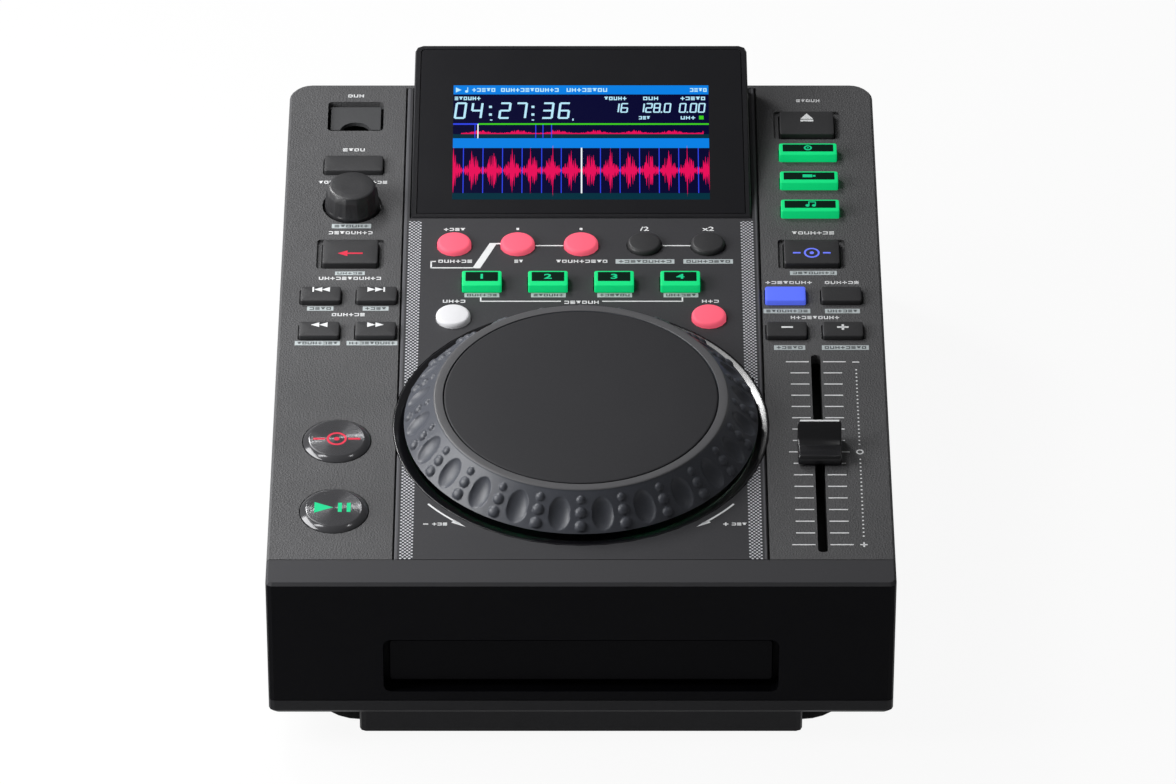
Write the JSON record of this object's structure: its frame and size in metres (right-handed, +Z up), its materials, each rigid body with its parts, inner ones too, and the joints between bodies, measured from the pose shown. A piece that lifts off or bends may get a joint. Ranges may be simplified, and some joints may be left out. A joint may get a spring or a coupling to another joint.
{
  "type": "tabletop dj disc player",
  "caption": "Wedge-shaped tabletop disc player with a jog wheel, raised display, key pads, pitch fader, browse knob, covered stick port and a sliding disc tray.",
  "frame": {"origin": "middle of the whole box, on the floor under the feet", "axes": "+Z up, +X to the right of the user, +Y from the front face to the rear panel"},
  "size_m": [0.22, 0.298, 0.1081],
  "materials": {
    "top_case": "fine leather-like grain",
    "front_fascia": "satin",
    "centre_plate": "fine satin",
    "front_plate": "fine satin",
    "screen_housing": "satin",
    "screen_window": "polished",
    "lcd_module": "glowing display",
    "bottom_chassis": "powder coat",
    "foot_front_left": "moulded",
    "foot_front_right": "moulded",
    "foot_rear_left": "moulded",
    "foot_rear_right": "moulded",
    "mains_inlet": "moulded",
    "main_board": "solder mask",
    "control_board": "solder mask",
    "power_board": "solder mask",
    "usb_a_socket": "plain",
    "rear_panel": "powder coat",
    "jog_base": "polished",
    "jog_bearing": "plain",
    "drive_chassis": "plain",
    "back_button": "satin",
    "reverse_button": "satin",
    "track_back_button": "satin",
    "track_forward_button": "satin",
    "search_back_button": "satin",
    "search_forward_button": "satin",
    "eject_button": "satin",
    "jog_mode_button": "satin",
    "key_lock_button": "lit satin",
    "tempo_tap_button": "satin",
    "bend_minus_button": "satin",
    "bend_plus_button": "satin",
    "disc_source_button": "lit frame",
    "usb_source_button": "lit frame",
    "midi_source_button": "lit frame",
    "hot_cue_button_1": "lit frame",
    "hot_cue_button_2": "lit frame",
    "hot_cue_button_3": "lit frame",
    "hot_cue_button_4": "lit frame",
    "cue_button": "spun gloss",
    "play_button": "spun gloss",
    "shift_button": "lit satin",
    "slip_button": "lit satin",
    "auto_loop_button": "lit satin",
    "loop_in_button": "lit satin",
    "loop_out_button": "lit satin",
    "loop_halve_button": "satin",
    "loop_double_button": "satin",
    "encoder_rotor": "plain",
    "browse_knob": "satin",
    "pitch_fader": "satin",
    "jog_wheel": "soft touch",
    "jog_touch_plate": "fine painted",
    "usb_door": "satin",
    "power_switch": "satin",
    "disc_tray": "moulded",
    "tray_fascia": "satin",
    "turntable": "moulded",
    "laser_sled": "plain"
  },
  "bodies": {
    "root": {"top_case": "top_case", "front_fascia": "front_fascia", "centre_plate": "centre_plate", "front_plate": "front_plate", "screen_housing": "screen_housing", "screen_window": "screen_window", "lcd_module": "lcd_module", "bottom_chassis": "bottom_chassis", "foot_front_left": "foot_front_left", "foot_front_right": "foot_front_right", "foot_rear_left": "foot_rear_left", "foot_rear_right": "foot_rear_right", "mains_inlet": "mains_inlet", "main_board": "main_board", "control_board": "control_board", "power_board": "power_board", "usb_a_socket": "usb_a_socket", "rear_panel": "rear_panel", "jog_base": "jog_base", "jog_bearing": "jog_bearing", "drive_chassis": "drive_chassis"},
    "back_button": {"back_button": "back_button"},
    "reverse_button": {"reverse_button": "reverse_button"},
    "track_back_button": {"track_back_button": "track_back_button"},
    "track_forward_button": {"track_forward_button": "track_forward_button"},
    "search_back_button": {"search_back_button": "search_back_button"},
    "search_forward_button": {"search_forward_button": "search_forward_button"},
    "eject_button": {"eject_button": "eject_button"},
    "jog_mode_button": {"jog_mode_button": "jog_mode_button"},
    "key_lock_button": {"key_lock_button": "key_lock_button"},
    "tempo_tap_button": {"tempo_tap_button": "tempo_tap_button"},
    "bend_minus_button": {"bend_minus_button": "bend_minus_button"},
    "bend_plus_button": {"bend_plus_button": "bend_plus_button"},
    "disc_source_button": {"disc_source_button": "disc_source_button"},
    "usb_source_button": {"usb_source_button": "usb_source_button"},
    "midi_source_button": {"midi_source_button": "midi_source_button"},
    "hot_cue_button_1": {"hot_cue_button_1": "hot_cue_button_1"},
    "hot_cue_button_2": {"hot_cue_button_2": "hot_cue_button_2"},
    "hot_cue_button_3": {"hot_cue_button_3": "hot_cue_button_3"},
    "hot_cue_button_4": {"hot_cue_button_4": "hot_cue_button_4"},
    "cue_button": {"cue_button": "cue_button"},
    "play_button": {"play_button": "play_button"},
    "shift_button": {"shift_button": "shift_button"},
    "slip_button": {"slip_button": "slip_button"},
    "auto_loop_button": {"auto_loop_button": "auto_loop_button"},
    "loop_in_button": {"loop_in_button": "loop_in_button"},
    "loop_out_button": {"loop_out_button": "loop_out_button"},
    "loop_halve_button": {"loop_halve_button": "loop_halve_button"},
    "loop_double_button": {"loop_double_button": "loop_double_button"},
    "encoder_rotor": {"encoder_rotor": "encoder_rotor"},
    "browse_knob": {"browse_knob": "browse_knob"},
    "pitch_fader": {"pitch_fader": "pitch_fader"},
    "jog_wheel": {"jog_wheel": "jog_wheel", "jog_touch_plate": "jog_touch_plate"},
    "usb_door": {"usb_door": "usb_door"},
    "power_switch": {"power_switch": "power_switch"},
    "disc_tray": {"disc_tray": "disc_tray", "tray_fascia": "tray_fascia"},
    "turntable": {"turntable": "turntable"},
    "laser_sled": {"laser_sled": "laser_sled"}
  },
  "joints": [
    {"name": "back_press", "type": "slide", "parent": "root", "child": "back_button", "axis": [0, 0.0715, -0.9974], "range_m": [0, 0.001], "stiffness_N_per_m": 250, "springref_m": -0.0012},
    {"name": "reverse_press", "type": "slide", "parent": "root", "child": "reverse_button", "axis": [0, 0.0715, -0.9974], "range_m": [0, 0.001], "stiffness_N_per_m": 250, "springref_m": -0.0012},
    {"name": "track_back_press", "type": "slide", "parent": "root", "child": "track_back_button", "axis": [0, 0.0715, -0.9974], "range_m": [0, 0.001], "stiffness_N_per_m": 250, "springref_m": -0.0012},
    {"name": "track_forward_press", "type": "slide", "parent": "root", "child": "track_forward_button", "axis": [0, 0.0715, -0.9974], "range_m": [0, 0.001], "stiffness_N_per_m": 250, "springref_m": -0.0012},
    {"name": "search_back_press", "type": "slide", "parent": "root", "child": "search_back_button", "axis": [0, 0.0715, -0.9974], "range_m": [0, 0.001], "stiffness_N_per_m": 250, "springref_m": -0.0012},
    {"name": "search_forward_press", "type": "slide", "parent": "root", "child": "search_forward_button", "axis": [0, 0.0715, -0.9974], "range_m": [0, 0.001], "stiffness_N_per_m": 250, "springref_m": -0.0012},
    {"name": "eject_press", "type": "slide", "parent": "root", "child": "eject_button", "axis": [0, 0.0715, -0.9974], "range_m": [0, 0.001], "stiffness_N_per_m": 250, "springref_m": -0.0012},
    {"name": "jog_mode_press", "type": "slide", "parent": "root", "child": "jog_mode_button", "axis": [0, 0.0715, -0.9974], "range_m": [0, 0.001], "stiffness_N_per_m": 250, "springref_m": -0.0012},
    {"name": "key_lock_press", "type": "slide", "parent": "root", "child": "key_lock_button", "axis": [0, 0.0715, -0.9974], "range_m": [0, 0.001], "stiffness_N_per_m": 250, "springref_m": -0.0012},
    {"name": "tempo_tap_press", "type": "slide", "parent": "root", "child": "tempo_tap_button", "axis": [0, 0.0715, -0.9974], "range_m": [0, 0.001], "stiffness_N_per_m": 250, "springref_m": -0.0012},
    {"name": "bend_minus_press", "type": "slide", "parent": "root", "child": "bend_minus_button", "axis": [0, 0.0715, -0.9974], "range_m": [0, 0.001], "stiffness_N_per_m": 250, "springref_m": -0.0012},
    {"name": "bend_plus_press", "type": "slide", "parent": "root", "child": "bend_plus_button", "axis": [0, 0.0715, -0.9974], "range_m": [0, 0.001], "stiffness_N_per_m": 250, "springref_m": -0.0012},
    {"name": "disc_source_press", "type": "slide", "parent": "root", "child": "disc_source_button", "axis": [0, 0.0715, -0.9974], "range_m": [0, 0.001], "stiffness_N_per_m": 250, "springref_m": -0.0012},
    {"name": "usb_source_press", "type": "slide", "parent": "root", "child": "usb_source_button", "axis": [0, 0.0715, -0.9974], "range_m": [0, 0.001], "stiffness_N_per_m": 250, "springref_m": -0.0012},
    {"name": "midi_source_press", "type": "slide", "parent": "root", "child": "midi_source_button", "axis": [0, 0.0715, -0.9974], "range_m": [0, 0.001], "stiffness_N_per_m": 250, "springref_m": -0.0012},
    {"name": "hot_cue_1_press", "type": "slide", "parent": "root", "child": "hot_cue_button_1", "axis": [0, 0.0715, -0.9974], "range_m": [0, 0.001], "stiffness_N_per_m": 250, "springref_m": -0.0012},
    {"name": "hot_cue_2_press", "type": "slide", "parent": "root", "child": "hot_cue_button_2", "axis": [0, 0.0715, -0.9974], "range_m": [0, 0.001], "stiffness_N_per_m": 250, "springref_m": -0.0012},
    {"name": "hot_cue_3_press", "type": "slide", "parent": "root", "child": "hot_cue_button_3", "axis": [0, 0.0715, -0.9974], "range_m": [0, 0.001], "stiffness_N_per_m": 250, "springref_m": -0.0012},
    {"name": "hot_cue_4_press", "type": "slide", "parent": "root", "child": "hot_cue_button_4", "axis": [0, 0.0715, -0.9974], "range_m": [0, 0.001], "stiffness_N_per_m": 250, "springref_m": -0.0012},
    {"name": "cue_press", "type": "slide", "parent": "root", "child": "cue_button", "axis": [0, 0.0715, -0.9974], "range_m": [0, 0.001], "stiffness_N_per_m": 250, "springref_m": -0.0012},
    {"name": "play_press", "type": "slide", "parent": "root", "child": "play_button", "axis": [0, 0.0715, -0.9974], "range_m": [0, 0.001], "stiffness_N_per_m": 250, "springref_m": -0.0012},
    {"name": "shift_press", "type": "slide", "parent": "root", "child": "shift_button", "axis": [0, 0.0715, -0.9974], "range_m": [0, 0.001], "stiffness_N_per_m": 250, "springref_m": -0.0012},
    {"name": "slip_press", "type": "slide", "parent": "root", "child": "slip_button", "axis": [0, 0.0715, -0.9974], "range_m": [0, 0.001], "stiffness_N_per_m": 250, "springref_m": -0.0012},
    {"name": "auto_loop_press", "type": "slide", "parent": "root", "child": "auto_loop_button", "axis": [0, 0.0715, -0.9974], "range_m": [0, 0.001], "stiffness_N_per_m": 250, "springref_m": -0.0012},
    {"name": "loop_in_press", "type": "slide", "parent": "root", "child": "loop_in_button", "axis": [0, 0.0715, -0.9974], "range_m": [0, 0.001], "stiffness_N_per_m": 250, "springref_m": -0.0012},
    {"name": "loop_out_press", "type": "slide", "parent": "root", "child": "loop_out_button", "axis": [0, 0.0715, -0.9974], "range_m": [0, 0.001], "stiffness_N_per_m": 250, "springref_m": -0.0012},
    {"name": "loop_halve_press", "type": "slide", "parent": "root", "child": "loop_halve_button", "axis": [0, 0.0715, -0.9974], "range_m": [0, 0.001], "stiffness_N_per_m": 250, "springref_m": -0.0012},
    {"name": "loop_double_press", "type": "slide", "parent": "root", "child": "loop_double_button", "axis": [0, 0.0715, -0.9974], "range_m": [0, 0.001], "stiffness_N_per_m": 250, "springref_m": -0.0012},
    {"name": "browse_turn", "type": "hinge", "parent": "root", "child": "encoder_rotor", "pos_m": [-0.0848, 0.06777, 0.08454], "axis": [0, -0.0715, 0.9974], "continuous": true},
    {"name": "browse_push", "type": "slide", "parent": "encoder_rotor", "child": "browse_knob", "axis": [0, 0.0715, -0.9974], "range_m": [0, 0.0008], "stiffness_N_per_m": 400, "springref_m": -0.001},
    {"name": "pitch_slide", "type": "slide", "parent": "root", "child": "pitch_fader", "axis": [0, 0.9974, 0.0715], "range_m": [-0.05, 0.05]},
    {"name": "jog_turn", "type": "hinge", "parent": "root", "child": "jog_wheel", "pos_m": [0, -0.0611, 0.0753], "axis": [0, -0.0715, 0.9974], "continuous": true},
    {"name": "usb_door_hinge", "type": "hinge", "parent": "root", "child": "usb_door", "pos_m": [-0.0848, 0.13067, 0.08674], "axis": [-1, 0, 0], "range_deg": [0, 95]},
    {"name": "power_rock", "type": "hinge", "parent": "root", "child": "power_switch", "pos_m": [-0.0478, 0.14137, 0.041], "axis": [1, 0, 0], "range_deg": [0, 24]},
    {"name": "tray_slide", "type": "slide", "parent": "root", "child": "disc_tray", "axis": [0, -1, 0], "range_m": [0, 0.128]},
    {"name": "turntable_spin", "type": "hinge", "parent": "disc_tray", "child": "turntable", "pos_m": [0, -0.07687, 0.035], "axis": [0, 0, 1], "continuous": true},
    {"name": "sled_slide", "type": "slide", "parent": "disc_tray", "child": "laser_sled", "axis": [0, 1, 0], "range_m": [0, 0.03]}
  ]
}
